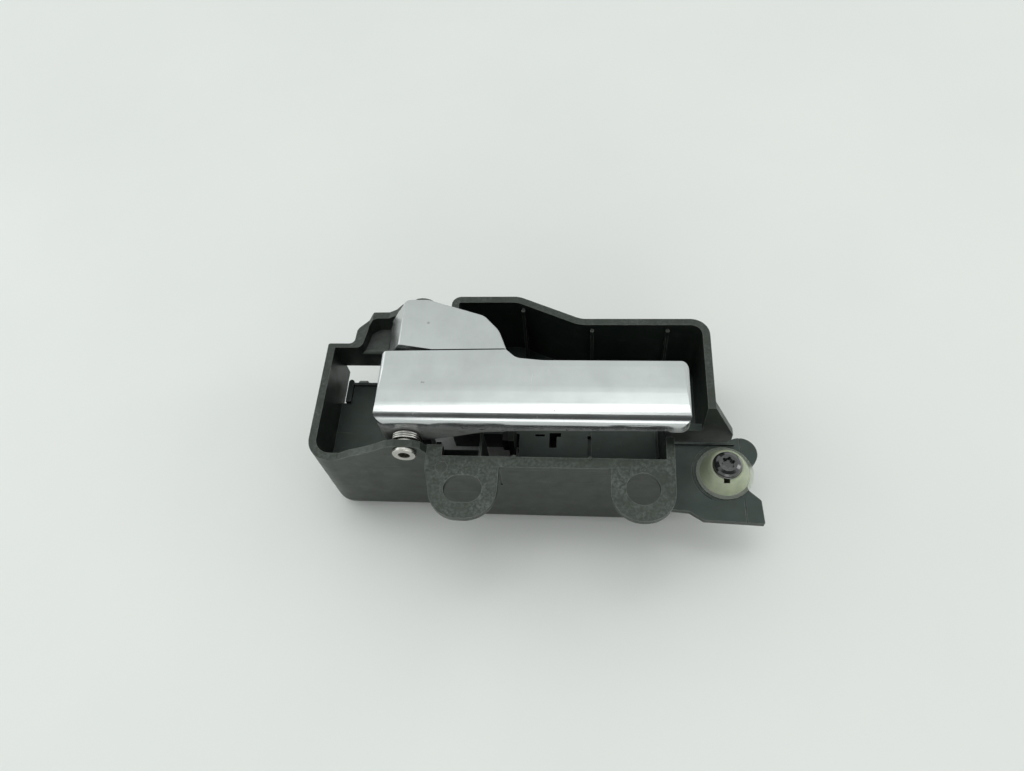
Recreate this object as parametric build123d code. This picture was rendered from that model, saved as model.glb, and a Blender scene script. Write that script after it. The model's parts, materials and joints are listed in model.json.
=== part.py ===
from build123d import *
import math
import os

# Interior release handle of a car door, in millimetres. +Z points out of the door towards the
# user, +X towards the free end of the main lever, and -Y towards the two screw ears. The origin
# is near the middle of the base.

# ---- overall ----
X_LEFT = -75.7
X_RIGHT = 75.0
Y_EARS = -43.5            # lowest point of the left ear
Y_FAR = 44.25
TALL = 61.0               # above everything, for cutting tools

# ---- housing ----
WALL = 2.6
SKIN = 1.6
RIM_Z = 40.0
LEDGE_Z = 46.5
EAR_T = 2.2
FLOOR_Z = 22.0
FLOOR_T = 2.2
CUP_Z = 10.0
SIDE_OPENING_Z = 27.6
NEAR_LEFT_Y = -22.2
NEAR_RIGHT_Y = -26.0
STEP_X = -33.0
RIB_X = 44.2
WEB_Y = -1.2
FAR_LEFT_Y = 23.6
FAR_LEFT_WALL = 1.7       # the wall is thinner there
SHELF_Z = 35.6
FAR_RIGHT_Y = 34.4
FAR_EAR_Y = 34.9
RIGHT_WALL_X = 59.1
NOTCH_X = -32.5
CUP_LEFT_X = -30.0
CUP_NEAR_Y = -1.0
BOTTOM_ROUND = 5.0
BASE_FLANGE = 9.0
FAR_LEFT_GAP_Y = 8.0      # from here to the far side there is no base flange, and the
LEFT_GAP_Z = 20.0         # left wall ends at this height

# ---- screw ears ----
LEFT_EAR = (-21.0, 10.8, Y_EARS, 9.8)        # x, half width, lowest y, corner radius
RIGHT_EAR = (34.3, 9.8, -43.0, 9.5)
LEFT_SLOT_Y = -33.85
RIGHT_HOLE_Y = -32.7
EAR_HOLE_R = 5.2
EAR_SLOT = (12.1, 8.9)

# ---- pivot ----
PIVOT_X = -40.5
PIVOT_Z = 47.2
PIN_R = 2.7
PIN_HOLE_R = 1.9
RUNNING_GAP = 0.05
BUSH_R = 3.75
BUSH_FLANGE_R = 4.6
BUSH_FLANGE_T = 0.8
BUSH_L = 8.0
BARREL_R = 5.4
FAR_EAR_R = 4.5
NEAR_EAR_IN = NEAR_LEFT_Y + WALL
FAR_EAR_IN = FAR_EAR_Y - WALL

# ---- levers ----
LEVER_TOP = 59.4
SHELL_T = 1.8
LEVER_LEFT = -49.5
LEVER_RIGHT = 48.5
LEVER_NEAR = -16.3
LEVER_FAR = 4.8
SPLIT_NEAR = (8.0, 8.8)   # far edge of the main lever, at its left end and at the step
SPLIT_FAR = (8.8, 9.2)    # near edge of the lock lever, at x = -33 and at its right end
LOCK_FAR = 29.0
CARRIER_Z = (53.0, 55.0)
ROOF_Z = LEVER_TOP - SHELL_T
ARM_T = 4.0
ARM_TIP_Z = 15.0
ARM_TIP_R = 4.5
MAIN_ARM_Y = -7.0
LOCK_ARM_Y = 17.0
NIPPLE_R = 2.1
CABLE_SLOT = 1.6
MAIN_BARREL = (-14.3, 8.5)
LOCK_BARREL = (10.0, 29.8)
GRIP_SCREW_R = 1.25
MAIN_SCREWS = ((-18.0, -5.7), (30.0, -5.7))
LOCK_SCREWS = ((-28.5, 16.5),)
LEVER_ROLL = 3.4
NEAR_SLOPE = 0.22         # fall of the main lever's top just before it rolls over
LOCK_ROLL = 1.0
LOCK_CORNER = 2.2         # far-left corner of the lock lever
SKIRT_Z = 53.0            # underside of the shells where no deeper skirt is needed
LOCK_LEFT_TOP = -44.3     # the lock lever's left end slopes from here, at the top,
LOCK_LEFT_LOW = (-50.6, 49.0)      # to this x, z
ARM_HEEL = 4.6            # half width of a cable arm at the barrel
ARM_TOE = 3.4             # half width at the tip

# ---- return spring ----
SPRING_WIRE_R = 0.35
SPRING_COIL_R = 4.35
SPRING_TURNS = 2.5
SPRING_PITCH = 0.74
SPRING_Y0 = -18.75
SPRING_LEGS = (14.0, 6.0)

# ---- stops ----
OPEN_STOP_X = -11.7       # face of the pad that the main arm meets when fully pulled
OPEN_STOP_T = 2.0
LOCK_POST_Z = 44.4
LOCK_PAD_Z = 45.8

# ---- lock detent ----
CAM_R = 6.4
CAM_Y = (15.0, 21.0)
DETENT_ANGLES = (-30.0, -12.0)
RIVET_R = 1.0
RIVET_Y = 18.0
RIVET_Z = 35.0
RIVET_L = 2.1
DETENT_RIB_X = -33.2
LEAF_T = 0.5

# ---- cable sockets, one in the left wall and one in a hook under the floor ----
MAIN_SOCKET_R = 3.5
LOCK_SOCKET_R = 3.0
SOCKET_SLIT = 3.0
LOCK_SEAT_X = (-69.3, -66.7)

# ---- bush plate ----
PLATE_Z = 21.0
PLATE_T = 2.2
BUSH_X = 63.35
BUSH_Y = -15.7
PLATE_HOLE_R = 5.7
SCREW_R = 2.5
TAB_R = 5.7
LOBE_R = 1.75
HEAD_Z = 27.3
BUSH_FLANGE = 9.5         # thin clear flange on the plate
SHANK_R = 2.2             # plain shank; the threaded end is SCREW_R
THREAD_Z = (5.2, 10.8)


def block(x0, x1, y0, y1, z0, z1):
    """A box given by its limits."""
    middle = Pos((x0 + x1) / 2, (y0 + y1) / 2, (z0 + z1) / 2)
    return middle * Box(x1 - x0, y1 - y0, z1 - z0)


def slab(points, z0, z1, radius=0):
    """A plan outline, with rounded corners, raised from z0 to z1."""
    outline = FilletPolyline(*[(x, y, z0) for x, y in points], radius=radius, close=True)
    return extrude(make_face(outline), amount=z1 - z0, dir=(0, 0, 1))


def profile(points, y0, y1, radius=0):
    """A side outline of (x, z) points, drawn out from y0 to y1."""
    outline = FilletPolyline(*[(x, y0, z) for x, z in points], radius=radius, close=True)
    return extrude(make_face(outline), amount=y1 - y0, dir=(0, 1, 0))


def section(points, x0, x1):
    """A cross-section of (y, z) points, drawn out from x0 to x1."""
    face = make_face(Polyline(*[(x0, y, z) for y, z in points], close=True))
    return extrude(face, amount=x1 - x0, dir=(1, 0, 0))


def rod_y(radius, y0, y1, x=PIVOT_X, z=PIVOT_Z):
    """A round bar along Y, on the pivot axis unless told otherwise."""
    return Pos(x, (y0 + y1) / 2, z) * Rot(90, 0, 0) * Cylinder(radius, y1 - y0)


def rod_x(radius, x0, x1, y, z):
    return Pos((x0 + x1) / 2, y, z) * Rot(0, 90, 0) * Cylinder(radius, x1 - x0)


def rod_z(radius, z0, z1, x, y):
    return Pos(x, y, (z0 + z1) / 2) * Cylinder(radius, z1 - z0)


def turned_y(points, x=PIVOT_X, z=PIVOT_Z):
    """A solid of revolution about the line along Y through x, z, from (radius, y) points."""
    face = make_face(Polyline(*[(r, y, 0) for r, y in points], close=True))
    return Pos(x, 0, z) * revolve(face, Axis.Y)


def turned_z(points, x, y):
    """A solid of revolution about the upright line through x, y, from (radius, z) points."""
    face = make_face(Polyline(*[(r, 0, z) for r, z in points], close=True))
    return Pos(x, y, 0) * revolve(face, Axis.Z)


def save(node, solid):
    solid.label = node
    export_step(solid, f"parts/{node}.step")


# ================================================================ housing

def wall_outline():
    """Corners of the outer wall in plan, with the radius of each."""
    return [
        ((X_LEFT, NEAR_LEFT_Y), 8.0),
        ((STEP_X, NEAR_LEFT_Y), 0.0),
        ((STEP_X, NEAR_RIGHT_Y), 0.0),
        ((RIB_X, NEAR_RIGHT_Y), 0.0),
        ((RIB_X, WEB_Y), 0.0),
        ((RIGHT_WALL_X, WEB_Y), 0.0),
        ((RIGHT_WALL_X, FAR_RIGHT_Y), 6.5),
        ((14.5, FAR_RIGHT_Y), 9.0),
        ((-8.0, Y_FAR), 9.0),
        ((NOTCH_X, Y_FAR), 3.4),
        ((NOTCH_X, FAR_EAR_Y), 0.0),
        ((-59.9, FAR_EAR_Y), 2.0),
        ((-66.0, 30.0), 3.0),
        ((-66.3, FAR_LEFT_Y), 2.0),
        ((X_LEFT, FAR_LEFT_Y), 0.8),
    ]


def inner_outline():
    """The same outline set in by the wall thickness."""
    w = WALL
    slope = w * 0.22
    return [
        ((X_LEFT + w, NEAR_LEFT_Y + w), 8.0 - w),
        ((STEP_X + w, NEAR_LEFT_Y + w), 0.0),
        ((STEP_X + w, NEAR_RIGHT_Y + w), 0.0),
        ((RIB_X - w, NEAR_RIGHT_Y + w), 0.0),
        ((RIB_X - w, WEB_Y + w), 0.0),
        ((RIGHT_WALL_X - w, WEB_Y + w), 0.0),
        ((RIGHT_WALL_X - w, FAR_RIGHT_Y - w), 6.5 - w),
        ((14.5 - slope, FAR_RIGHT_Y - w), 9.0 + w),
        ((-8.0 - slope, Y_FAR - w), 9.0 - w),
        ((NOTCH_X + w, Y_FAR - w), 0.8),
        ((NOTCH_X + w, FAR_EAR_Y - w), 0.0),
        ((-58.6, FAR_EAR_Y - w), 0.8),
        ((-61.6, 30.4), 1.2),
        ((-63.2, FAR_LEFT_Y - FAR_LEFT_WALL), 2.4),
        ((X_LEFT + w, FAR_LEFT_Y - FAR_LEFT_WALL), 0.0),
    ]


def outline_slab(outline, z0, z1):
    points = [point for point, _ in outline]
    radii = [radius for _, radius in outline]
    return slab(points, z0, z1, radii)


def is_rolled_under(edge):
    """True for the base edges that are rounded: left wall, near-left corner and near wall."""
    middle = edge.center()
    at_base = edge.bounding_box().max.Z < 0.01
    at_left = middle.X < X_LEFT + BASE_FLANGE and middle.Y < FAR_LEFT_Y - 1
    at_near = middle.Y < NEAR_LEFT_Y + 1 and STEP_X - 1 > middle.X
    return at_base and (at_left or at_near)


def walls():
    """The wall all round, with a turned-in base flange on the near and left sides."""
    outer = outline_slab(wall_outline(), 0, TALL)
    outer = fillet(outer.edges().filter_by(is_rolled_under), BOTTOM_ROUND)
    near = [e for e in outer.edges() if e.bounding_box().max.Z < 0.01
            and abs(e.center().Y - NEAR_RIGHT_Y) < 0.1]
    outer = fillet(near, BOTTOM_ROUND)
    hollow = outline_slab(inner_outline(), WALL, TALL)
    base_hole = outline_slab(inner_outline(), -1, WALL) & block(
        X_LEFT + BASE_FLANGE, X_RIGHT, NEAR_RIGHT_Y + BASE_FLANGE, Y_FAR, -1, WALL)
    base_gap = block(X_LEFT + WALL, -60.0, FAR_LEFT_GAP_Y, Y_FAR, -1, WALL + 0.1)
    low_gap = block(X_LEFT - 1, X_LEFT + WALL + 0.1, FAR_LEFT_GAP_Y, FAR_LEFT_Y + 1, -1, LEFT_GAP_Z)
    return outer - hollow - base_hole - base_gap - low_gap


def top_cuts():
    """Everything above the rim: level at 40, climbing to the two pin ears and the ledge."""
    near_line = [(-64.5, RIM_Z), (-60.5, 42.6), (-56.0, 44.6), (-51.0, 47.2), (-46.8, 50.1),
                 (-43.6, 50.9), (-37.6, 50.9), (-35.2, 49.6), (-33.6, LEDGE_Z),
                 (X_RIGHT + 1, LEDGE_Z)]
    far_line = [(-65.2, RIM_Z), (-62.0, 40.6), (-60.0, 43.2), (-54.0, 43.3), (-51.0, 45.1),
                (-48.6, 47.8), (-46.0, 49.4), (-37.0, 49.4), (-35.2, 44.0),
                (NOTCH_X - 0.01, 44.0), (NOTCH_X, RIM_Z), (X_RIGHT + 1, RIM_Z)]
    over = [(X_RIGHT + 1, TALL + 1), (X_LEFT - 1, TALL + 1), (X_LEFT - 1, RIM_Z)]
    near_cut = profile(near_line + over, Y_EARS - 1, LEVER_NEAR + 1.3)
    far_cut = profile(far_line + over, LEVER_NEAR + 1.3, Y_FAR + 1)
    return near_cut + far_cut


def far_ear():
    return rod_y(FAR_EAR_R, FAR_EAR_IN, FAR_EAR_Y)


def thumb_pocket():
    """Shallow scooped shelf behind the left end of the lock lever."""
    near = FAR_LEFT_Y - FAR_LEFT_WALL
    shelf = block(-64.5, -47.0, near, FAR_EAR_IN + 0.5, SHELF_Z - 2.4, SHELF_Z + 0.6)
    apron = block(-65.5, -47.0, near, near + SKIN, SIDE_OPENING_Z, SHELF_Z + 0.6)
    top = (shelf + apron).edges().filter_by(Axis.X).group_by(Axis.Z)[-1]
    shelf = fillet(top.sort_by(Axis.Y)[0], 1.5)
    return shelf - rod_x(24.0, -70.0, -40.0, 28.5, SHELF_Z + 24.0)


def ledge():
    """Level flange on top of the near wall, with the two screw ears."""
    z0 = LEDGE_Z - EAR_T
    back_y = -22.8
    right = RIGHT_EAR[0] + RIGHT_EAR[1]
    strip = slab([(-33.8, -26.4), (-31.6, -35.0), (-21.0, -35.0), (-21.0, -26.4), (right, -26.4),
                  (right, back_y), (-28.6, back_y), (-28.6, -19.0), (-33.8, -19.0)], z0, LEDGE_Z)
    for x, half, low, corner in (LEFT_EAR, RIGHT_EAR):
        strip += slab([(x - half, back_y), (x - half, low), (x + half, low), (x + half, back_y)],
                      z0, LEDGE_Z, [0, corner, corner, 0])
    slot = Pos(LEFT_EAR[0], LEFT_SLOT_Y, z0) * extrude(SlotOverall(*EAR_SLOT), amount=EAR_T)
    hole = rod_z(EAR_HOLE_R, z0, LEDGE_Z, RIGHT_EAR[0], RIGHT_HOLE_Y)
    return strip - slot - hole


def ledge_marks():
    """Small nibs left on the back edge of the ledge."""
    return [rod_z(0.55, LEDGE_Z - 1.0, LEDGE_Z + 0.35, x, -22.9) for x in (-5.6, 18.1)]


def floor_plate():
    """The level floor at mid depth, with its lipped left end and its openings."""
    z0 = FLOOR_Z - FLOOR_T
    near_left = NEAR_EAR_IN - 0.5
    near_right = NEAR_RIGHT_Y + WALL - 0.5
    plate = slab([
        (X_LEFT + WALL - 0.5, near_left), (STEP_X + 1, near_left), (STEP_X + 1, near_right),
        (RIB_X - WALL + 0.5, near_right), (RIB_X - WALL + 0.5, CUP_NEAR_Y), (CUP_LEFT_X, CUP_NEAR_Y),
        (CUP_LEFT_X, 10.5), (-56.0, 10.5), (-56.0, 17.3), (X_LEFT + WALL - 0.5, 17.3),
    ], z0, FLOOR_Z)
    side_gap = block(X_LEFT + WALL, -71.6, 9.0, 18.0, z0 - 1, TALL)
    arm_slot = block(-47.0, -16.9, -12.0, -2.6, z0 - 1, TALL)
    bay = block(-17.0, -6.6, near_right + 0.5, -2.6, z0 - 1, TALL)
    seam = block(17.2, 18.5, -22.0, -3.0, FLOOR_Z - 1.4, TALL)
    plate = plate - side_gap - arm_slot - bay - seam - spring_anchor_slot(z0)
    lip_side = block(-71.6, -69.6, 9.0, 17.3, z0, FLOOR_Z + 1.4)
    lip_far = block(-70.0, -56.0, 16.3, 17.3, z0, FLOOR_Z + 0.9)
    raised = block(18.5, RIB_X - WALL - 1.2, near_right, CUP_NEAR_Y, FLOOR_Z - 0.5, FLOOR_Z + 1.8)
    return plate + lip_side + rod_z(1.0, z0, FLOOR_Z + 1.4, -70.6, 17.3) + lip_far + raised


def spring_anchor_slot(z0):
    """T-shaped keyhole in the floor panel."""
    slit = block(-1.2, 2.3, -3.4, -2.6, z0 - 1, TALL)
    stem = block(3.9, 6.5, -7.8, -2.0, z0 - 1, TALL)
    arm = block(6.4, 8.0, -3.6, -2.0, z0 - 1, TALL)
    return slit + stem + arm


def shelf_by_arm():
    """Raised shelf and thin rib between the near wall and the arm slot."""
    near = NEAR_RIGHT_Y + WALL - 0.5
    shelf = block(STEP_X, -16.4, near, -13.0, 30.0 - SKIN, 30.0)
    rib = block(-17.2, -16.4, near, -13.0, FLOOR_Z - FLOOR_T, 44.0)
    side = block(STEP_X, STEP_X + SKIN, near, -13.0, FLOOR_Z - FLOOR_T, 36.0)
    return shelf + rib + side


def finger_cup():
    """Deep cup under the free side of the lever, with its step and left wall."""
    z0 = CUP_Z - FLOOR_T
    base = outline_slab(inner_outline(), z0, CUP_Z) & block(
        CUP_LEFT_X - SKIN, X_RIGHT, CUP_NEAR_Y, Y_FAR, z0, CUP_Z)
    step = block(CUP_LEFT_X - SKIN, RIB_X, CUP_NEAR_Y, CUP_NEAR_Y + SKIN, z0, FLOOR_Z)
    left = block(CUP_LEFT_X - SKIN, CUP_LEFT_X, CUP_NEAR_Y, FAR_EAR_IN + 1, z0, 38.0)
    return base + step + left


def wall_ribs():
    """Three thin upright ribs on the inner face of the far wall."""
    ribs = []
    for x, wall_y in ((-6.4, 40.5), (18.5, FAR_RIGHT_Y - WALL), (44.9, FAR_RIGHT_Y - WALL)):
        ribs.append(section([(wall_y + 1, 37.6), (wall_y - 1.2, 37.6), (wall_y - 5.0, CUP_Z - 1),
                             (wall_y + 1, CUP_Z - 1)], x - 0.5, x + 0.5))
        ribs.append(rod_z(0.7, 34.0, 37.9, x, wall_y - 1.0))
    return ribs


def side_web():
    """Sloping web that ties the right wall to the bush plate."""
    return profile([(RIGHT_WALL_X - WALL, RIM_Z), (RIGHT_WALL_X, RIM_Z), (67.4, PLATE_Z),
                    (67.4, PLATE_Z - 6), (RIGHT_WALL_X - WALL, PLATE_Z - 11)],
                   WEB_Y, WEB_Y + WALL)


def bush_plate():
    """Low plate at the right end, with its rounded tab and the hole for the bush."""
    z0 = PLATE_Z - PLATE_T
    plate = slab([
        (RIB_X - 1, -4.6), (70.5, -4.6), (71.0, -13.0), (70.4, -21.4), (X_RIGHT - 0.4, -25.2),
        (X_RIGHT, -33.3), (55.6, -32.5), (51.0, -29.6), (RIB_X - 1, -29.0),
    ], z0, PLATE_Z, radius=[0, 0, 0, 2.0, 1.0, 0.4, 0.8, 0.8, 0])
    plate += rod_z(TAB_R, z0, PLATE_Z, 69.2, -8.1)
    lip = block(RIB_X, 67.3, -5.4, -4.6, PLATE_Z - 1, PLATE_Z + 0.9)
    ribs = [block(RIB_X - 1, 55.0, y - 0.8, y + 0.8, 8.0, PLATE_Z - 1) for y in (-9.5, -24.0)]
    crease_far = block(69.1, 69.5, -9.4, -2.0, PLATE_Z - 0.25, PLATE_Z + 1)
    crease_near = block(69.1, 69.5, -33.4, -24.0, PLATE_Z - 0.25, PLATE_Z + 1)
    ring = rod_z(10.9, PLATE_Z - 0.25, PLATE_Z + 1, BUSH_X, BUSH_Y)
    ring -= rod_z(10.4, PLATE_Z - 0.25, PLATE_Z + 1, BUSH_X, BUSH_Y)
    ring &= block(BUSH_X - 12, BUSH_X - 4.5, BUSH_Y - 12, BUSH_Y + 12, PLATE_Z - 1, PLATE_Z + 1)
    hole = rod_z(PLATE_HOLE_R, z0, PLATE_Z, BUSH_X, BUSH_Y)
    plate = plate + lip + ribs[0] + ribs[1]
    return plate - crease_far - crease_near - ring - hole


def stop_posts():
    """Post for the lock stop pad, backing rib for the open-stop pad and for the detent spring."""
    x = OPEN_STOP_X + OPEN_STOP_T
    lock_post = block(-22.0, -18.2, 13.0, 19.0, CUP_Z - 1, LOCK_POST_Z)
    open_rib = block(x, x + 2.0, -9.8, CUP_NEAR_Y + 1, FLOOR_Z - FLOOR_T, 31.0)
    detent_rib = block(DETENT_RIB_X, CUP_LEFT_X, 13.0, 23.0, CUP_Z - FLOOR_T, 40.6)
    return lock_post + open_rib + detent_rib


def lock_cable_seat():
    """Hook under the floor that takes the end of the lock cable's sleeve."""
    x0, x1 = LOCK_SEAT_X
    radius = LOCK_SOCKET_R + 2.0
    hook = rod_x(radius, x0, x1, LOCK_ARM_Y, ARM_TIP_Z)
    return hook + block(x0, x1, LOCK_ARM_Y - radius, LOCK_ARM_Y + 0.3, ARM_TIP_Z, FLOOR_Z - 1)


def socket(radius, y):
    """Round seat for the end of a cable sleeve, open downwards through a slit."""
    x0, x1 = X_LEFT - 1, X_LEFT + BASE_FLANGE + 1
    seat = rod_x(radius, x0, x1, y, ARM_TIP_Z)
    return seat + block(x0, x1, y - SOCKET_SLIT / 2, y + SOCKET_SLIT / 2, -1, ARM_TIP_Z)


def moulding_marks():
    """A drain groove down the near wall and an ejector mark on the ledge."""
    groove = block(-11.1, -10.2, NEAR_RIGHT_Y - 1, NEAR_RIGHT_Y + 0.4, 31.0, LEDGE_Z - EAR_T)
    return groove + rod_z(1.95, LEDGE_Z - 0.2, LEDGE_Z + 1, -28.3, -26.8)


def housing():
    body = walls() - top_cuts()
    within = outline_slab(wall_outline(), 0, TALL)
    body += (floor_plate() & within) + far_ear() + ledge() + shelf_by_arm() + finger_cup()
    body += side_web() + bush_plate() + stop_posts()
    for rib in wall_ribs() + ledge_marks():
        body += rib
    body -= block(X_LEFT + WALL, -46.5, FAR_LEFT_Y - WALL - 0.5, Y_FAR, -1, SIDE_OPENING_Z)
    body += (thumb_pocket() & within) + lock_cable_seat()
    body -= block(RIB_X, RIGHT_WALL_X - WALL, WEB_Y - 0.1, WEB_Y + WALL, 24.0, TALL)
    body -= socket(MAIN_SOCKET_R, MAIN_ARM_Y)
    body -= socket(LOCK_SOCKET_R, LOCK_ARM_Y)
    body -= rod_x(RIVET_R, DETENT_RIB_X - 1, DETENT_RIB_X - LEAF_T + RIVET_L, RIVET_Y, RIVET_Z)
    body -= rod_y(PIN_R, NEAR_LEFT_Y - 1, FAR_EAR_Y + 1)
    return body - moulding_marks()


# ================================================================ pin and its small parts

def pivot_pin():
    """Hollow steel pin, flared at both ends."""
    near, far = NEAR_LEFT_Y, FAR_EAR_Y
    return turned_y([
        (PIN_HOLE_R, near - 1.2), (3.6, near - 1.2), (3.85, near - 0.9), (3.85, near - 0.2),
        (3.6, near), (PIN_R, near), (PIN_R, far), (3.2, far), (3.0, far + 0.5),
        (PIN_HOLE_R, far + 0.5),
    ])


def ring_y(inner, outer, y0, y1):
    return rod_y(outer, y0, y1) - rod_y(inner, y0 - 1, y1 + 1)


def lever_bush(y_outer, direction):
    """Flanged sleeve; its flange is flush with the barrel end at y_outer."""
    flange = sorted((y_outer, y_outer + direction * BUSH_FLANGE_T))
    sleeve = sorted((y_outer, y_outer + direction * BUSH_L))
    body = rod_y(BUSH_FLANGE_R, *flange) + rod_y(BUSH_R, *sleeve)
    return body - rod_y(PIN_R + RUNNING_GAP, sleeve[0] - 1, sleeve[1] + 1)


def bush_seats(barrel):
    """The stepped bore of a lever barrel that two flanged bushes fill."""
    y0, y1 = barrel
    seats = rod_y(BUSH_R, y0, y1)
    seats += rod_y(BUSH_FLANGE_R, y0, y0 + BUSH_FLANGE_T)
    return seats + rod_y(BUSH_FLANGE_R, y1 - BUSH_FLANGE_T, y1)


def main_return_spring():
    """Torsion spring round the pin, with both legs running straight down off the coil."""
    turn = Pos(PIVOT_X, SPRING_Y0, PIVOT_Z) * Rot(-90, 0, 0) * Rot(0, 0, 180)
    coil = turn * Helix(SPRING_PITCH, SPRING_PITCH * SPRING_TURNS, SPRING_COIL_R)
    start, end = coil @ 0, coil @ 1
    anchor_leg = Line(start - (coil % 0) * SPRING_LEGS[0], start)
    lever_leg = Line(end, end + (coil % 1) * SPRING_LEGS[1])
    wire = Wire([anchor_leg.edge(), coil.edge(), lever_leg.edge()])
    return sweep(Plane(origin=wire @ 0, z_dir=wire % 0) * Circle(SPRING_WIRE_R), path=wire)


# ================================================================ main lever

def main_outline():
    """Plan outline of the main lever, with the step at its far edge beside the lock lever."""
    return [
        ((LEVER_LEFT, LEVER_NEAR), 3.0),
        ((LEVER_RIGHT, LEVER_NEAR), 3.2),
        ((LEVER_RIGHT, LEVER_FAR), 2.6),
        ((3.0, LEVER_FAR), 25.0),
        ((-5.6, 5.7), 4.5),
        ((-8.9, SPLIT_NEAR[1]), 0.0),
        ((LEVER_LEFT, SPLIT_NEAR[0]), 1.6),
    ]


def main_inner_outline():
    t = SHELL_T
    return [
        ((LEVER_LEFT + t, LEVER_NEAR + t), 1.2),
        ((LEVER_RIGHT - t, LEVER_NEAR + t), 1.4),
        ((LEVER_RIGHT - t, LEVER_FAR - t), 0.8),
        ((2.6, LEVER_FAR - t), 25.0),
        ((-6.4, 5.7 - t), 4.5),
        ((-9.7, SPLIT_NEAR[1] - t), 0.0),
        ((LEVER_LEFT + t, SPLIT_NEAR[0] - t), 0.6),
    ]


def main_section(inset):
    """Solid with the lever's cross-section: nearly flat behind, crowned, rolled over in front."""
    i = inset
    top, floor = LEVER_TOP - i, 30.0
    beyond, near, crown = SPLIT_NEAR[1] + 5, LEVER_NEAR + i, -11.6
    low = top - 0.65 - NEAR_SLOPE * (crown - near)
    points = [(beyond, floor), (beyond, top), (2.7, top), (-5.5, top - 0.2), (crown, top - 0.65),
              (near, low), (near, floor)]
    radii = [0, 0, 0, 40.0, 18.0, LEVER_ROLL - i, 0]
    x0, x1 = LEVER_LEFT - 1, LEVER_RIGHT + 1
    outline = FilletPolyline(*[(x0, y, z) for y, z in points], radius=radii, close=True)
    return extrude(make_face(outline), amount=x1 - x0, dir=(1, 0, 0))


def main_ends():
    """Solid whose left and right top edges are rolled over."""
    y0, y1 = LEVER_NEAR - 1, SPLIT_NEAR[1] + 1
    ends = [(LEVER_LEFT, 30.0), (LEVER_LEFT, LEVER_TOP), (LEVER_RIGHT, LEVER_TOP),
            (LEVER_RIGHT, 30.0)]
    return profile(ends, y0, y1, [0, 1.8, 2.2, 0])


def grip_boss(x, y, z0):
    """Boss under a chrome shell for one small screw."""
    return rod_z(2.6, z0, ROOF_Z + 0.3, x, y)


def main_lever_grip():
    """Chrome shell of the main lever: a thin inverted tray, deep beside the pivot."""
    body = outline_slab(main_outline(), 40.0, LEVER_TOP) & main_ends() & main_section(0.0)
    body -= outline_slab(main_inner_outline(), 39.0, ROOF_Z) & main_section(SHELL_T)
    under = profile([
        (-60.0, 42.6), (-34.0, 44.2), (-26.0, 46.6), (-16.0, 50.2), (-4.0, 51.6), (41.6, 52.9),
        (42.6, 52.0), (60.0, 52.0), (60.0, 38.0), (-60.0, 38.0),
    ], LEVER_NEAR - 1, LEVER_NEAR + SHELL_T + 0.01)
    body -= under
    body -= block(-60.0, 60.0, LEVER_NEAR + SHELL_T, SPLIT_NEAR[1] + 1, 38.0, SKIRT_Z)
    for x, y in MAIN_SCREWS:
        body += grip_boss(x, y, CARRIER_Z[1])
        body -= rod_z(GRIP_SCREW_R, CARRIER_Z[1] - 1, ROOF_Z + 0.2, x, y)
    body -= rod_y(PIN_R + 0.6, LEVER_NEAR - 1, LEVER_NEAR + SHELL_T + 1)
    return body


def cable_arm(y):
    """Arm that hangs from the barrel, with a socket for the cable's end barrel."""
    half = ARM_T / 2
    arm = profile([(PIVOT_X - ARM_HEEL, PIVOT_Z), (PIVOT_X + ARM_HEEL, PIVOT_Z),
                   (PIVOT_X + ARM_TOE, ARM_TIP_Z), (PIVOT_X - ARM_TOE, ARM_TIP_Z)],
                  y - half, y + half)
    arm += rod_y(ARM_TIP_R, y - half, y + half, PIVOT_X, ARM_TIP_Z)
    arm -= rod_y(NIPPLE_R, y - half - 1, y + half + 1, PIVOT_X, ARM_TIP_Z)
    slot = CABLE_SLOT / 2
    return arm - block(PIVOT_X - 8, PIVOT_X, y - slot, y + slot, ARM_TIP_Z - slot, ARM_TIP_Z + slot)


def main_lever_carrier():
    """Moulded bar inside the main lever: ribbed tray, barrel on the pin, cable arm."""
    z0, z1 = CARRIER_Z
    near, far = LEVER_NEAR + SHELL_T + 0.5, LEVER_FAR - SHELL_T - 0.2
    tray = block(-46.6, 45.8, near, far, z0, z1)
    for y in (near, far - SKIN):
        tray += block(-34.0, 45.8, y, y + SKIN, z0 - 2.0, z1)
    for x in (-8.0, 8.0, 20.0, 38.0):
        tray += block(x, x + SKIN, near, far, z0 - 2.0, z1)
    tray += block(42.0, 45.8, near, far, z0 - 2.0, z1)
    neck_far = SPLIT_NEAR[0] - SHELL_T - 0.2
    tray += block(PIVOT_X - 4.5, PIVOT_X + 4.5, MAIN_BARREL[0], neck_far, PIVOT_Z, z1)
    tray += rod_y(BARREL_R, *MAIN_BARREL)
    tray += cable_arm(MAIN_ARM_Y)
    tray -= bush_seats(MAIN_BARREL)
    for x, y in MAIN_SCREWS:
        tray -= rod_z(GRIP_SCREW_R + 0.15, z0 - 3, z1 + 1, x, y)
    return tray


def grip_screws(places, z0):
    """Small screws that hold a shell to its carrier from below."""
    screws = []
    for x, y in places:
        head = turned_z([(0, z0 - 1.6), (1.8, z0 - 1.6), (2.4, z0 - 0.9), (2.4, z0), (0, z0)], x, y)
        shank = rod_z(GRIP_SCREW_R, z0, ROOF_Z + 0.1, x, y)
        recess = block(x - 1.3, x + 1.3, y - 0.3, y + 0.3, z0 - 2, z0 - 0.9)
        cross = block(x - 0.3, x + 0.3, y - 1.3, y + 1.3, z0 - 2, z0 - 0.9)
        screws.append(head + shank - recess - cross)
    return screws


# ================================================================ lock lever

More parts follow.
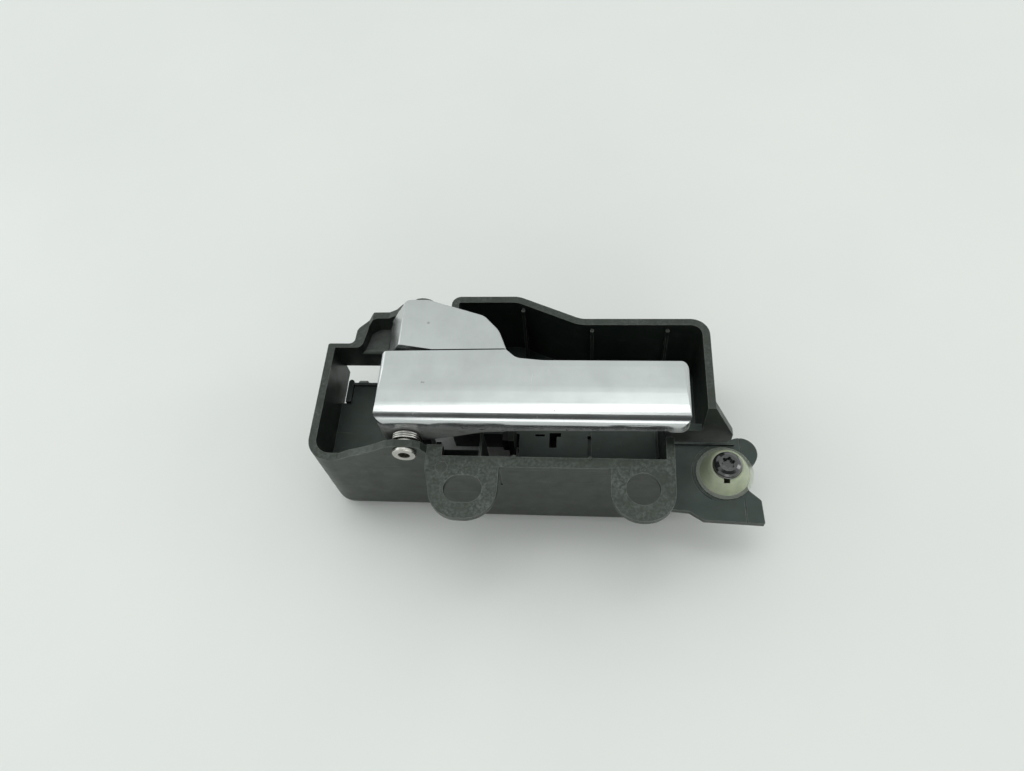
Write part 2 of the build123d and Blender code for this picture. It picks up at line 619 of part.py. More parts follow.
def lock_outline(inset=0.0):
    """Plan outline of the lock lever, which narrows towards its free end in an S."""
    i = inset
    return [
        ((-53.0 + i, 11.4 + i), 0.0),
        ((-43.6, 10.5 + i), 0.8 if i == 0 else 0.0),
        ((-33.0, SPLIT_FAR[0] + i), 0.0),
        ((-8.8 - i, SPLIT_FAR[1] + i), 0.0),
        ((-11.7 - i, 16.6 - i * 0.2), 9.0),
        ((-17.0 - i * 0.6, 22.4 - i), 5.0),
        ((-36.5, LOCK_FAR - i), 4.0),
        ((-53.0 + i, LOCK_FAR - i), 0.0),
    ]


def lock_lever_grip():
    """Chrome shell of the lock lever, with its left end sloping outward and down."""
    body = outline_slab(lock_outline(), 45.0, LEVER_TOP)
    x_low, z_low = LOCK_LEFT_LOW
    z_skirt = SKIRT_Z + 0.2
    left = profile([(LOCK_LEFT_TOP, LEVER_TOP), (0.0, LEVER_TOP), (0.0, z_skirt),
                    (-46.6, z_skirt), (-46.6, z_low), (x_low, z_low)], 0.0, 40.0)
    body = body & left
    corner = [e for e in body.edges() if e.center().Y > LOCK_FAR - 0.1
              and LOCK_LEFT_TOP > e.center().X > x_low and e.bounding_box().max.Z > LEVER_TOP - 0.1
              and e.bounding_box().min.Z < LEVER_TOP - 1]
    body = fillet(corner, LOCK_CORNER)
    top = [e for e in body.edges() if e.bounding_box().min.Z > LEVER_TOP - 0.01]
    soft = [e for e in top if e.center().Y > SPLIT_FAR[1] + 3]
    body = fillet(soft, LOCK_ROLL)
    t = SHELL_T
    inner = outline_slab(lock_outline(t), 44.0, ROOF_Z)
    inner_left = profile([(LOCK_LEFT_TOP + t, ROOF_Z), (0.0, ROOF_Z), (0.0, 44.0),
                          (x_low + t, 44.0), (x_low + t, z_low)], 0.0, 40.0)
    body -= inner & inner_left
    for x, y in LOCK_SCREWS:
        body += grip_boss(x, y, CARRIER_Z[1])
        body -= rod_z(GRIP_SCREW_R, CARRIER_Z[1] - 1, ROOF_Z + 0.2, x, y)
    return body


def lock_cam():
    """Two-notch cam on the barrel that the detent spring presses on."""
    y0, y1 = CAM_Y
    reach = CAM_R + 3
    cam = rod_y(CAM_R, y0, y1) & block(
        PIVOT_X, PIVOT_X + reach, y0, y1, PIVOT_Z - reach * 0.75, PIVOT_Z + 1.0)
    for angle in DETENT_ANGLES:
        a = math.radians(angle)
        cam -= rod_y(1.0, y0 - 1, y1 + 1, PIVOT_X + (CAM_R + 0.3) * math.cos(a),
                     PIVOT_Z + (CAM_R + 0.3) * math.sin(a))
    return cam


def lock_lever_carrier():
    z0, z1 = CARRIER_Z
    plate = slab([(-42.3, 13.6), (-36.0, 11.8), (-14.5, 11.8), (-15.8, 16.0), (-19.5, 20.2),
                  (-36.0, 26.6), (-42.3, 26.6)], z0, z1)
    plate += block(PIVOT_X - 1.6, PIVOT_X + 4.5, 13.4, 26.6, PIVOT_Z, z1)
    plate += rod_y(BARREL_R, *LOCK_BARREL)
    plate += cable_arm(LOCK_ARM_Y) + lock_cam()
    plate -= bush_seats(LOCK_BARREL)
    for x, y in LOCK_SCREWS:
        plate -= rod_z(GRIP_SCREW_R + 0.15, z0 - 1, z1 + 1, x, y)
    return plate


def lock_detent_spring():
    """Leaf spring with a bent-over nose, riveted to a rib of the housing."""
    t = LEAF_T
    x = DETENT_RIB_X - t
    angle = math.radians(DETENT_ANGLES[0])
    nose_x = PIVOT_X + (CAM_R + 0.1) * math.cos(angle)
    nose_z = PIVOT_Z + CAM_R * math.sin(angle)
    line = [(x + t, 30.0), (x, 30.0), (x, nose_z - 2.7), (nose_x, nose_z), (x, nose_z + 1.6),
            (x + t, nose_z + 1.6), (nose_x + 2 * t, nose_z), (x + t, nose_z - 3.0)]
    leaf = profile(line, CAM_Y[0] + 0.4, CAM_Y[1] - 0.4)
    return leaf - rod_x(RIVET_R, x - 1, x + 2, RIVET_Y, RIVET_Z)


def detent_rivet():
    x = DETENT_RIB_X - LEAF_T
    low = (Align.CENTER, Align.CENTER, Align.MIN)
    head = Pos(x, RIVET_Y, RIVET_Z) * Rot(0, -90, 0) * Cone(2.0, 1.1, 0.9, align=low)
    return head + rod_x(RIVET_R, x, x + RIVET_L, RIVET_Y, RIVET_Z)


# ================================================================ pads

def rest_bumper():
    """Rubber pad on the right rib that the closed lever lands on."""
    pad = block(41.6, 43.8, -13.0, -6.0, RIM_Z, 50.7)
    return fillet(pad.edges().filter_by(Axis.Y).group_by(Axis.Z)[-1], 0.6)


def open_stop_pad():
    pad = block(OPEN_STOP_X, OPEN_STOP_X + OPEN_STOP_T, -9.4, -4.6, 23.0, 30.6)
    return fillet(pad.edges().filter_by(Axis.Y).group_by(Axis.X)[0], 0.5)


def lock_stop_pad():
    pad = block(-21.8, -18.4, 13.4, 18.6, LOCK_POST_Z, LOCK_PAD_Z)
    return fillet(pad.edges().group_by(Axis.Z)[-1], 0.5)


# ================================================================ bush and screw

def nylon_bush():
    """Flanged cone with a split snap-in shank, bored for the screw."""
    z = PLATE_Z
    bore = SHANK_R + 0.3
    body = turned_z([
        (bore, 13.4), (4.6, 13.4), (6.2, 17.6), (6.2, z - PLATE_T - 0.2),
        (PLATE_HOLE_R - 0.1, z - PLATE_T - 0.2), (PLATE_HOLE_R - 0.1, z), (7.2, z), (7.4, z + 0.1),
        (BUSH_FLANGE, z + 0.1), (BUSH_FLANGE, z + 0.5), (8.3, z + 0.6), (8.1, z + 1.2),
        (7.2, z + 3.4), (6.3, z + 5.2), (5.4, HEAD_Z), (bore, HEAD_Z),
    ], BUSH_X, BUSH_Y)
    split = block(BUSH_X - 8, BUSH_X + 8, BUSH_Y - 0.7, BUSH_Y + 0.7, 12.0, z - PLATE_T)
    notch = block(BUSH_X - 1.5, BUSH_X + 0.5, BUSH_Y - 6.0, BUSH_Y - 3.4, z + 1.4, HEAD_Z + 1)
    return body - split - notch


def fixing_screw():
    """M5 pan-head screw with a six-lobe drive."""
    z = HEAD_Z
    head = turned_z([
        (0, z), (4.85, z), (4.85, z + 0.3), (4.65, z + 0.5), (4.55, z + 1.1), (4.0, z + 1.8),
        (3.0, z + 2.3), (0, z + 2.4),
    ], BUSH_X, BUSH_Y)
    drive = rod_z(LOBE_R, z + 0.9, z + 4, BUSH_X, BUSH_Y)
    for n in range(6):
        a = math.radians(60 * n + 15)
        drive += rod_z(0.5, z + 0.9, z + 4,
                       BUSH_X + LOBE_R * math.cos(a), BUSH_Y + LOBE_R * math.sin(a))
    low, high = THREAD_Z
    shank = turned_z([(0, 2.6), (1.2, 2.6), (SCREW_R, low), (SCREW_R, high),
                      (SHANK_R, high + 0.2), (SHANK_R, z), (0, z)], BUSH_X, BUSH_Y)
    return head - drive + shank


def screw_retainer():
    """Plastic ring on the shank that keeps the screw captive in the bush."""
    ring = rod_z(4.8, 11.4, 12.8, BUSH_X, BUSH_Y)
    return ring - rod_z(SHANK_R, 11.0, 13.0, BUSH_X, BUSH_Y)


# ================================================================ output

def main():
    os.makedirs("parts", exist_ok=True)
    save("housing", housing())
    save("pivot_pin", pivot_pin())
    save("near_thrust_washer", ring_y(PIN_R + 0.1, 3.6, NEAR_EAR_IN + 0.02, NEAR_EAR_IN + 0.42))
    save("spacer_washer", ring_y(PIN_R + 0.1, 4.6, MAIN_BARREL[1] + 0.2, LOCK_BARREL[0] - 0.2))
    save("wave_washer", ring_y(PIN_R + 0.1, 4.3, LOCK_BARREL[1] + 0.4, FAR_EAR_IN - 0.4))
    save("main_return_spring", main_return_spring())
    save("main_lever_grip", main_lever_grip())
    save("main_lever_carrier", main_lever_carrier())
    save("main_bush_near", lever_bush(MAIN_BARREL[0], 1))
    save("main_bush_far", lever_bush(MAIN_BARREL[1], -1))
    save("main_grip_screws", Compound(children=grip_screws(MAIN_SCREWS, CARRIER_Z[0])))
    save("lock_lever_grip", lock_lever_grip())
    save("lock_lever_carrier", lock_lever_carrier())
    save("lock_bush_near", lever_bush(LOCK_BARREL[0], 1))
    save("lock_bush_far", lever_bush(LOCK_BARREL[1], -1))
    save("lock_grip_screw", Compound(children=grip_screws(LOCK_SCREWS, CARRIER_Z[0])))
    save("lock_detent_spring", lock_detent_spring())
    save("detent_rivet", detent_rivet())
    save("rest_bumper", rest_bumper())
    save("open_stop_pad", open_stop_pad())
    save("lock_stop_pad", lock_stop_pad())
    save("nylon_bush", nylon_bush())
    save("fixing_screw", fixing_screw())
    save("screw_retainer", screw_retainer())


main()
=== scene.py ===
import json
import math

import bpy
from mathutils import Matrix, Vector


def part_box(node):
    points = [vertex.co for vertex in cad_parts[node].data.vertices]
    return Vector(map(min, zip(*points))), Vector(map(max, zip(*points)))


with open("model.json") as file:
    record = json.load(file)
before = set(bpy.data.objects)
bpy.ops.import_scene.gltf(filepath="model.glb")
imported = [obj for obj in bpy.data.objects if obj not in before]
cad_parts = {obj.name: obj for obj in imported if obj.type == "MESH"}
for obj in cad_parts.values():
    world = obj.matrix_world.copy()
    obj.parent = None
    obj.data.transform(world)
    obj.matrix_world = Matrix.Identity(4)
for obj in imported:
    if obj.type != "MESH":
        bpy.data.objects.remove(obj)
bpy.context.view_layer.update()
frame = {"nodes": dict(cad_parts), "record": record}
nodes = frame["nodes"]
scene = bpy.context.scene

# the camera, from the side and height at which the object was seen
VIEW_AZIMUTH = 11.27
VIEW_ELEVATION = 59.35
VIEW_ROLL = -9.20
CAMERA_PLACE = (0.0176, -0.124, 0.265)
SENSOR_MM = 36.0
LENS_MM = 27.0352

FLOOR_HALF = 1.6
FLOOR_DROP = 0.0001          # keeps the floor just under the part's base


# ---------------------------------------------------------------- node helpers

class Graph:
    """A thin wrapper round one material's node tree."""

    def __init__(self, name):
        self.material = bpy.data.materials.new(name)
        self.material.use_nodes = True
        self.tree = self.material.node_tree
        self.shader = self.tree.nodes["Principled BSDF"]
        coord = self.tree.nodes.new("ShaderNodeTexCoord")
        self.place = coord.outputs["Object"]

    def node(self, kind, **values):
        made = self.tree.nodes.new(kind)
        for key, value in values.items():
            setattr(made, key, value)
        return made

    def link(self, start, end):
        self.tree.links.new(start, end)

    def scaled(self, scale, offset=(0, 0, 0)):
        """Object coordinates stretched by scale, which may be one number or three."""
        mapping = self.node("ShaderNodeMapping")
        three = scale if hasattr(scale, "__len__") else (scale,) * 3
        mapping.inputs["Scale"].default_value = three
        mapping.inputs["Location"].default_value = offset
        self.link(self.place, mapping.inputs["Vector"])
        return mapping.outputs["Vector"]

    def noise(self, scale, detail=4.0, rough=0.55, offset=(0, 0, 0), distortion=0.0):
        noise = self.node("ShaderNodeTexNoise")
        noise.inputs["Scale"].default_value = 1.0
        noise.inputs["Detail"].default_value = detail
        noise.inputs["Roughness"].default_value = rough
        noise.inputs["Distortion"].default_value = distortion
        self.link(self.scaled(scale, offset), noise.inputs["Vector"])
        return noise.outputs["Fac"]

    def voronoi(self, scale):
        cells = self.node("ShaderNodeTexVoronoi")
        cells.inputs["Scale"].default_value = 1.0
        self.link(self.scaled(scale), cells.inputs["Vector"])
        return cells.outputs["Distance"]

    def ramp(self, value, first, last):
        """A straight line between two (value, result) points, held level beyond both."""
        made = self.node("ShaderNodeMapRange")
        for name, number in zip(("From Min", "To Min", "From Max", "To Max"), (*first, *last)):
            made.inputs[name].default_value = number
        self.link(value, made.inputs["Value"])
        return made.outputs["Result"]

    def split(self, vector):
        """The X, Y and Z outputs of a vector."""
        parts = self.node("ShaderNodeSeparateXYZ")
        self.link(vector, parts.inputs[0])
        return parts.outputs

    def facing(self):
        """Z of the surface's normal: 1 on level tops and 0 on upright faces."""
        geometry = self.node("ShaderNodeNewGeometry")
        return self.split(geometry.outputs["Normal"])["Z"]

    def level_tops(self):
        """1 on upward-facing surfaces and 0 on the rest."""
        return self.ramp(self.facing(), (0.6, 0.0), (0.9, 1.0))

    def math(self, operation, a, b=0.0):
        made = self.node("ShaderNodeMath", operation=operation)
        for socket, value in zip(made.inputs, (a, b)):
            if isinstance(value, (int, float)):
                socket.default_value = value
            else:
                self.link(value, socket)
        return made.outputs[0]

    def all_of(self, *masks):
        """Masks from 0 to 1 multiplied together."""
        product = masks[0]
        for mask in masks[1:]:
            product = self.math("MULTIPLY", product, mask)
        return product

    def mix(self, factor, a, b):
        """Colour a to colour b by factor; a and b are RGB triples or sockets."""
        made = self.node("ShaderNodeMix", data_type="RGBA")
        if isinstance(factor, (int, float)):
            made.inputs[0].default_value = factor
        else:
            self.link(factor, made.inputs[0])
        for socket, value in ((made.inputs[6], a), (made.inputs[7], b)):
            if isinstance(value, tuple):
                socket.default_value = (*value, 1)
            else:
                self.link(value, socket)
        return made.outputs[2]

    def spot(self, centre, radius):
        """1 at the centre of a small round mark, fading to 0 at its radius."""
        away = self.node("ShaderNodeVectorMath", operation="DISTANCE")
        self.link(self.place, away.inputs[0])
        away.inputs[1].default_value = centre
        share = self.math("DIVIDE", away.outputs["Value"], radius)
        return self.ramp(share, (0.3, 1.0), (1.0, 0.0))

    def edges(self, radius=0.0004):
        """Near 1 along sharp outward edges and 0 on open faces."""
        bevel = self.node("ShaderNodeBevel", samples=4)
        bevel.inputs["Radius"].default_value = radius
        geometry = self.node("ShaderNodeNewGeometry")
        dot = self.node("ShaderNodeVectorMath", operation="DOT_PRODUCT")
        self.link(bevel.outputs["Normal"], dot.inputs[0])
        self.link(geometry.outputs["Normal"], dot.inputs[1])
        return self.ramp(dot.outputs["Value"], (0.70, 1.0), (0.985, 0.0))

    def bump(self, height, strength, distance):
        made = self.node("ShaderNodeBump")
        made.inputs["Strength"].default_value = strength
        made.inputs["Distance"].default_value = distance
        self.link(height, made.inputs["Height"])
        return made.outputs["Normal"]

    def set(self, **values):
        """Shader inputs by name, with _ for a space; each is a number, a colour or a socket."""
        for name, value in values.items():
            socket = self.shader.inputs[name.replace("_", " ")]
            if isinstance(value, (int, float)):
                socket.default_value = value
            elif isinstance(value, tuple):
                room = len(socket.default_value)
                socket.default_value = (*value, 1)[:room]
            else:
                self.link(value, socket)


# ---------------------------------------------------------------- materials

def moulded_plastic(name, dark, light, roughness=(0.34, 0.52)):
    """Black moulded polypropylene: fine grain, mottled sheen, dusty low floors, pale scuffs, pale
    edges that are partly wear and partly painted highlight, and a far-left shelf lightened partly by
    dust and partly by painted light.
    """
    g = Graph(name)
    mottling = g.ramp(g.noise(90.0, 5.0), (0.35, 0.0), (0.70, 1.0))
    colour = g.mix(mottling, dark, light)
    colour = g.mix(g.math("MULTIPLY", low_floors(g), 0.85), colour, (0.017, 0.033, 0.034))
    colour = g.mix(g.math("MULTIPLY", ledge_scuffs(g), 0.95), colour, (0.095, 0.107, 0.101))
    # painted light with some pale dust: lightens the small far-left shelf, which lies in the shade of
    # the lock lever
    colour = g.mix(g.math("MULTIPLY", shelf_dust_and_painted_light(g), 0.85), colour, (0.125, 0.134, 0.130))
    wiped = g.ramp(g.noise((60.0, 420.0, 300.0), 5.0, 0.65), (0.56, 0.0), (0.78, 1.0))
    colour = g.mix(g.math("MULTIPLY", wiped, 0.30), colour, (0.045, 0.052, 0.050))
    dust = g.ramp(g.voronoi(1500.0), (0.0, 1.0), (0.10, 0.0))
    rare = g.ramp(g.noise(260.0, 2.0, 0.5, (3, 1, 7)), (0.54, 0.0), (0.64, 1.0))
    specks = g.math("MULTIPLY", g.math("MULTIPLY", dust, rare), 0.50)
    colour = g.mix(specks, colour, (0.16, 0.17, 0.16))
    across = g.ramp(g.noise((90.0, 1400.0, 900.0), 2.0, 0.5, (5, 2, 1), 1.2), (0.70, 0.0), (0.73, 1.0))
    random = g.ramp(g.noise((800.0, 260.0, 500.0), 2.0, 0.5, (1, 7, 3), 2.2), (0.73, 0.0), (0.75, 1.0))
    scratches = g.math("MAXIMUM", across, random)
    colour = g.mix(g.math("MULTIPLY", scratches, 0.32), colour, (0.10, 0.105, 0.10))
    # paler patches along sharp edges: partly edge wear, partly a painted edge highlight
    patchy = g.ramp(g.noise(420.0, 4.0), (0.30, 0.15), (0.62, 1.0))
    pale_edges = g.math("MULTIPLY", g.edges(), patchy)
    colour = g.mix(pale_edges, colour, (0.17, 0.178, 0.172))
    low, high = roughness
    sheen = g.ramp(g.noise(150.0, 6.0, 0.6, (1, 4, 2)), (0.3, low), (0.75, high))
    height = g.math("ADD", g.noise(5200.0, 3.0), g.math("MULTIPLY", g.noise(420.0, 3.0), 0.8))
    height = g.math("SUBTRACT", height, g.math("MULTIPLY", scratches, 0.7))
    g.set(Base_Color=colour, Roughness=sheen, Normal=g.bump(height, 0.32, 0.00012))
    g.set(Specular_IOR_Level=0.60, Specular_Tint=(0.92, 1.0, 0.90))
    return g.material


def low_floors(g):
    """1 on patchy, upward-facing surfaces deep in the part, where fine dust settles."""
    low = g.ramp(g.split(g.place)["Z"], (0.026, 1.0), (0.030, 0.0))
    patchy = g.ramp(g.noise(170.0, 6.0, 0.62, (2, 2, 5)), (0.30, 0.35), (0.68, 1.0))
    return g.all_of(g.level_tops(), low, patchy)


def ledge_scuffs(g):
    """1 on rubbed, granular patches of the high tops, above all on the ledge with the ears."""
    place = g.split(g.place)
    high = g.ramp(place["Z"], (0.034, 0.0), (0.0355, 1.0))
    near = g.ramp(place["Y"], (-0.025, 1.0), (-0.020, 0.70))
    grains = g.ramp(g.noise(950.0, 5.0, 0.70, (6, 2, 2)), (0.42, 0.0), (0.68, 1.0))
    patches = g.ramp(g.noise(140.0, 4.0, 0.6, (9, 5, 1)), (0.36, 0.1), (0.62, 1.0))
    return g.all_of(g.level_tops(), high, near, grains, patches)


def shelf_dust_and_painted_light(g):
    """1 on patches of the small shelf at the far left corner, under the lock lever, which is lightened
    partly by pale dust and partly by painted light that stands in for the light its shade keeps off.
    """
    place = g.split(g.place)
    above = g.ramp(place["Z"], (0.034, 0.0), (0.035, 1.0))
    below = g.ramp(place["Z"], (0.0365, 1.0), (0.038, 0.0))
    far = g.ramp(place["Y"], (0.020, 0.0), (0.024, 1.0))
    patchy = g.ramp(g.noise(260.0, 5.0, 0.6, (4, 1, 8)), (0.32, 0.4), (0.62, 1.0))
    return g.all_of(g.level_tops(), above, below, far, patchy)


def plated(name, colour, roughness, brush=(240.0, 2600.0, 2600.0), marks=0.5, skirt_grime_and_reflection=False, nicks=()):
    """Satin plating: faint brush lines, fine handling scratches, a few pits and placed nicks."""
    g = Graph(name)
    cloud = g.ramp(g.noise(55.0, 5.0), (0.3, 0.0), (0.75, 1.0))
    darker = tuple(0.83 * c for c in colour)
    tint = g.mix(cloud, colour, darker)
    hair = g.ramp(g.noise((1300.0, 120.0, 500.0), 2.0, 0.5, (2, 9, 4), 1.6), (0.68, 0.0), (0.71, 1.0))
    tint = g.mix(g.math("MULTIPLY", hair, 0.4 * marks), tint, (0.42, 0.42, 0.42))
    pits = g.ramp(g.voronoi(700.0), (0.0, 1.0), (0.05, 0.0))
    few = g.ramp(g.noise(130.0, 1.0, 0.5, (8, 8, 1)), (0.62, 0.0), (0.68, 1.0))
    pits = g.math("MULTIPLY", pits, few)
    for centre, radius in nicks:
        pits = g.math("MAXIMUM", pits, g.spot(centre, radius))
    tint = g.mix(g.math("MULTIPLY", pits, marks), tint, (0.18, 0.17, 0.16))
    low, high = roughness
    blotch = g.ramp(g.noise(120.0, 6.0, 0.6, (4, 4, 9)), (0.3, low), (0.72, high))
    rough = g.math("ADD", blotch, g.math("MULTIPLY", hair, 0.12 * marks))
    height = g.math("ADD", g.noise(brush, 2.0), g.math("MULTIPLY", hair, -0.8 * marks))
    height = g.math("SUBTRACT", height, g.math("MULTIPLY", pits, 1.5))
    metal = 1.0
    if skirt_grime_and_reflection:
        # brownish film low on the skirt: partly real grime, partly a painted dark reflection of the
        # housing below
        dark_patches = skirt_grime_and_painted_reflection(g)
        tint = g.mix(g.math("MULTIPLY", dark_patches, 0.88), tint, (0.050, 0.044, 0.028))
        rough = g.math("ADD", rough, g.math("MULTIPLY", dark_patches, 0.18))
        metal = g.math("SUBTRACT", 1.0, g.math("MULTIPLY", dark_patches, 0.90))
    g.set(Base_Color=tint, Roughness=rough, Metallic=metal)
    g.set(Normal=g.bump(height, 0.07, 0.00004))
    return g.material


def skirt_grime_and_painted_reflection(g):
    """1 on patches low on the upright faces, just above the housing, where brownish grime and a
    painted dark reflection of the housing are laid on.
    """
    upright = g.ramp(g.math("ABSOLUTE", g.facing()), (0.12, 1.0), (0.40, 0.0))
    low = g.ramp(g.split(g.place)["Z"], (0.0513, 1.0), (0.0557, 0.0))
    patchy = g.ramp(g.noise((120.0, 300.0, 260.0), 5.0, 0.6, (1, 3, 3)), (0.32, 0.35), (0.66, 1.0))
    return g.all_of(upright, low, patchy)


def natural_nylon(name):
    """Milky, slightly translucent nylon, nearly clear where it thins out to the flange."""
    g = Graph(name)
    cloud = g.ramp(g.noise(320.0, 4.0), (0.3, 0.0), (0.7, 1.0))
    colour = g.mix(cloud, (0.43, 0.46, 0.33), (0.34, 0.38, 0.27))
    dark_patches = g.math("MULTIPLY", g.ramp(g.noise(900.0, 5.0, 0.7), (0.6, 0.0), (0.8, 1.0)), 0.35)
    colour = g.mix(dark_patches, colour, (0.16, 0.17, 0.12))
    rough = g.ramp(g.noise(600.0, 3.0), (0.3, 0.26), (0.7, 0.42))
    clear = clear_flange(g)
    body = g.math("SUBTRACT", 1.0, clear)
    colour = g.mix(clear, colour, (0.80, 0.84, 0.74))
    g.set(Base_Color=colour, Roughness=rough, Subsurface_Weight=g.math("MULTIPLY", body, 0.35))
    g.set(Subsurface_Radius=(0.004, 0.005, 0.003), Subsurface_Scale=0.25)
    g.set(Transmission_Weight=g.math("MULTIPLY", clear, 0.92), IOR=1.5)
    g.set(Normal=g.bump(g.noise(2400.0, 2.0), 0.12, 0.00006))
    return g.material


def clear_flange(g):
    """1 in the thin flange outside the cone, which is nearly clear."""
    cone_edge = 0.00836
    low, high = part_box("nylon_bush")
    centre = (-(low[0] + high[0]) / 2, -(low[1] + high[1]) / 2, 0)
    flat = g.node("ShaderNodeVectorMath", operation="MULTIPLY")
    g.link(g.scaled(1.0, centre), flat.inputs[0])
    flat.inputs[1].default_value = (1, 1, 0)
    reach = g.node("ShaderNodeVectorMath", operation="LENGTH")
    g.link(flat.outputs[0], reach.inputs[0])
    blend = 0.00008
    return g.ramp(reach.outputs["Value"], (cone_edge - blend, 0.0), (cone_edge + blend, 1.0))


def black_steel(name):
    """Blackened screw steel with a thin oily coat and worn edges."""
    g = Graph(name)
    cloud = g.ramp(g.noise(900.0, 4.0), (0.3, 0.0), (0.7, 1.0))
    colour = g.mix(cloud, (0.010, 0.010, 0.011), (0.022, 0.022, 0.023))
    pale_edges = g.math("MULTIPLY", g.edges(0.00018), g.ramp(g.noise(1800.0, 3.0), (0.4, 0.0), (0.6, 1.0)))
    colour = g.mix(g.math("MULTIPLY", pale_edges, 0.45), colour, (0.16, 0.16, 0.16))
    rough = g.ramp(g.noise(1200.0, 4.0), (0.3, 0.08), (0.75, 0.22))
    g.set(Base_Color=colour, Roughness=rough, Specular_IOR_Level=0.6)
    g.set(Coat_Weight=0.9, Coat_Roughness=0.04)
    g.set(Normal=g.bump(g.noise(1500.0, 3.0), 0.35, 0.00012))
    return g.material


def soft_rubber(name):
    """Dull black rubber."""
    g = Graph(name)
    cloud = g.ramp(g.noise(700.0, 4.0), (0.3, 0.0), (0.7, 1.0))
    g.set(Base_Color=g.mix(cloud, (0.012, 0.012, 0.012), (0.032, 0.032, 0.032)))
    g.set(Roughness=g.ramp(g.noise(500.0, 3.0), (0.3, 0.62), (0.7, 0.82)))
    g.set(Normal=g.bump(g.noise(6000.0, 2.0), 0.25, 0.00006))
    return g.material


def pale_acetal(name):
    """Off-white acetal, a little uneven in tone."""
    g = Graph(name)
    cloud = g.ramp(g.noise(500.0, 4.0), (0.3, 0.0), (0.7, 1.0))
    g.set(Base_Color=g.mix(cloud, (0.62, 0.61, 0.57), (0.52, 0.51, 0.47)))
    g.set(Roughness=g.ramp(g.noise(800.0, 3.0), (0.3, 0.35), (0.7, 0.5)))
    g.set(Normal=g.bump(g.noise(3000.0, 2.0), 0.1, 0.00005))
    return g.material


finishes = {
    "housing_plastic": moulded_plastic(
        "housing_plastic", (0.0070, 0.0100, 0.0080), (0.0115, 0.0155, 0.0125)),
    "carrier_plastic": moulded_plastic(
        "carrier_plastic", (0.007, 0.0075, 0.0075), (0.011, 0.0118, 0.0115)),
    "satin_chrome": plated("satin_chrome", (0.575, 0.60, 0.60), (0.15, 0.25), skirt_grime_and_reflection=True, nicks=(
        ((-0.0353, 0.0191, 0.0594), 0.0007),
        ((-0.0349, -0.0035, 0.0593), 0.0005),
        ((-0.0343, -0.0036, 0.0593), 0.0004),
        ((0.0072, -0.0127, 0.0586), 0.0005))),
    "zinc_steel": plated("zinc_steel", (0.58, 0.57, 0.53), (0.24, 0.42), marks=0.8),
    "spring_steel": plated("spring_steel", (0.62, 0.61, 0.58), (0.16, 0.30), marks=0.6),
    "black_steel": black_steel("black_steel"),
    "nylon": natural_nylon("nylon"),
    "acetal": pale_acetal("acetal"),
    "rubber": soft_rubber("rubber"),
}

slot_of = {part["node"]: part["material_slot"] for part in frame["record"]["subparts"]}
for name, thing in nodes.items():
    thing.data.materials.clear()
    thing.data.materials.append(finishes[slot_of[name]])


def soften(thing, width, segments=2, angle=35.0):
    """A small round on every sharp edge, so that edges catch the light."""
    bevel = thing.modifiers.new("soft edges", "BEVEL")
    bevel.width = width
    bevel.segments = segments
    bevel.limit_method = "ANGLE"
    bevel.angle_limit = math.radians(angle)
    bevel.harden_normals = False
    bevel.use_clamp_overlap = True


for name in ("main_lever_grip", "lock_lever_grip"):
    soften(nodes[name], 0.00035, 3)
soften(nodes["housing"], 0.00018, 1)
for name in ("nylon_bush", "fixing_screw", "pivot_pin"):
    soften(nodes[name], 0.00012, 2, 30.0)


# ---------------------------------------------------------------- floor, light and camera

def pale_floor():
    """A large pale, faintly uneven floor."""
    g = Graph("pale_floor")
    cloud = g.ramp(g.noise(9.0, 5.0), (0.3, 0.0), (0.7, 1.0))
    g.set(Base_Color=g.mix(cloud, (0.862, 0.872, 0.852), (0.832, 0.844, 0.827)))
    g.set(Roughness=g.ramp(g.noise(14.0, 3.0), (0.3, 0.35), (0.7, 0.5)))
    g.set(Normal=g.bump(g.noise(60.0, 3.0), 0.05, 0.0002))
    mesh = bpy.data.meshes.new("floor")
    corners = [(x * FLOOR_HALF, y * FLOOR_HALF, 0) for x, y in ((-1, -1), (1, -1), (1, 1), (-1, 1))]
    mesh.from_pydata(corners, [], [(0, 1, 2, 3)])
    floor = bpy.data.objects.new("floor", mesh)
    scene.collection.objects.link(floor)
    floor.location.z = -FLOOR_DROP
    mesh.materials.append(g.material)


def area_light(name, place, aim, size, power, colour=(1, 1, 1)):
    """A rectangular lamp at place, pointed at aim."""
    data = bpy.data.lights.new(name, "AREA")
    data.shape = "RECTANGLE"
    data.size, data.size_y = size
    data.energy = power
    data.color = colour
    lamp = bpy.data.objects.new(name, data)
    scene.collection.objects.link(lamp)
    lamp.location = place
    lamp.rotation_mode = "QUATERNION"
    lamp.rotation_quaternion = (Vector(aim) - Vector(place)).to_track_quat("-Z", "Y")
    return lamp


pale_floor()
area_light("overhead", (-0.05, 0.14, 1.1), (0, 0, 0), (0.60, 0.25), 0.9, (1.0, 0.995, 0.97))
area_light("left_window", (-1.1, 0.3, 0.55), (0, 0, 0.03), (0.8, 0.7), 1.7, (0.96, 0.99, 1.0))
area_light("near_fill", (0.15, -1.25, 0.55), (0, 0, 0.02), (1.0, 0.6), 2.8)
area_light("right_window", (1.15, 0.15, 0.55), (0.05, 0, 0.03), (0.35, 0.5), 1.6)

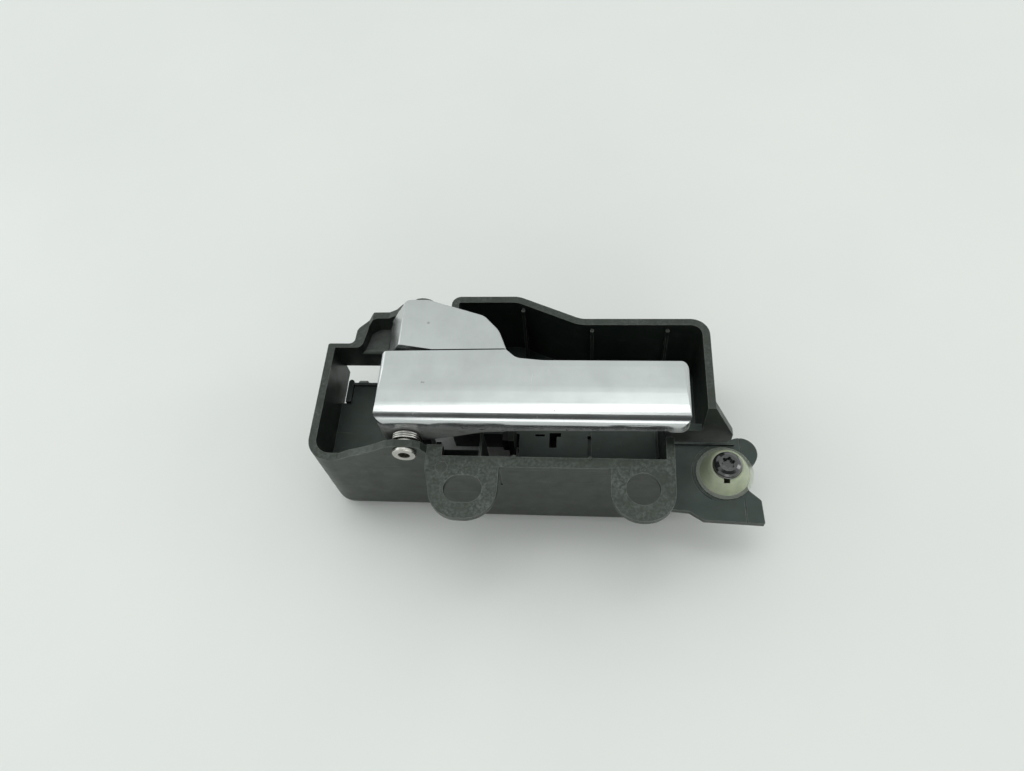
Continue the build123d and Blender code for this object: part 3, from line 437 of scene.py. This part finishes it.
azimuth, elevation, roll = (math.radians(a) for a in (VIEW_AZIMUTH, VIEW_ELEVATION, VIEW_ROLL))
back = Vector((math.sin(azimuth) * math.cos(elevation),
               -math.cos(azimuth) * math.cos(elevation), math.sin(elevation)))
level = Vector((math.cos(azimuth), math.sin(azimuth), 0))
right = math.cos(roll) * level + math.sin(roll) * back.cross(level)
up = back.cross(right)


def room():
    """A pale room, brighter overhead, with a dark patch where the person with the camera stands."""
    world = bpy.data.worlds.new("room")
    scene.world = world
    world.use_nodes = True
    tree = world.node_tree
    background = tree.nodes["Background"]
    coord = tree.nodes.new("ShaderNodeTexCoord")
    toward = tree.nodes.new("ShaderNodeVectorMath")
    toward.operation = "DOT_PRODUCT"
    toward.inputs[1].default_value = back
    tree.links.new(coord.outputs["Generated"], toward.inputs[0])
    patch = tree.nodes.new("ShaderNodeValToRGB")
    tone = (0.86, 0.90, 0.88)
    for point, position, level in zip(patch.color_ramp.elements, (0.74, 0.90), (1.0, 0.10)):
        point.position = position
        point.color = (*(level * channel for channel in tone), 1)
    tree.links.new(toward.outputs["Value"], patch.inputs["Fac"])
    tree.links.new(patch.outputs["Color"], background.inputs["Color"])
    upward = tree.nodes.new("ShaderNodeSeparateXYZ")
    tree.links.new(coord.outputs["Generated"], upward.inputs[0])
    strength = tree.nodes.new("ShaderNodeMapRange")
    strength.interpolation_type = "SMOOTHSTEP"
    for name, value in (("From Min", 0.86), ("From Max", 0.98), ("To Min", 1.0), ("To Max", 1.5)):
        strength.inputs[name].default_value = value
    tree.links.new(upward.outputs["Z"], strength.inputs["Value"])
    tree.links.new(strength.outputs["Result"], background.inputs["Strength"])


room()

camera_data = bpy.data.cameras.new("camera")
camera_data.sensor_width = SENSOR_MM
camera_data.lens = LENS_MM
camera_data.clip_start = 0.01
camera_data.clip_end = 20
camera = bpy.data.objects.new("camera", camera_data)
scene.collection.objects.link(camera)
turned = Matrix((right, up, back)).transposed().to_4x4()
camera.matrix_world = Matrix.Translation(CAMERA_PLACE) @ turned
scene.camera = camera
scene.view_settings.view_transform = "Standard"
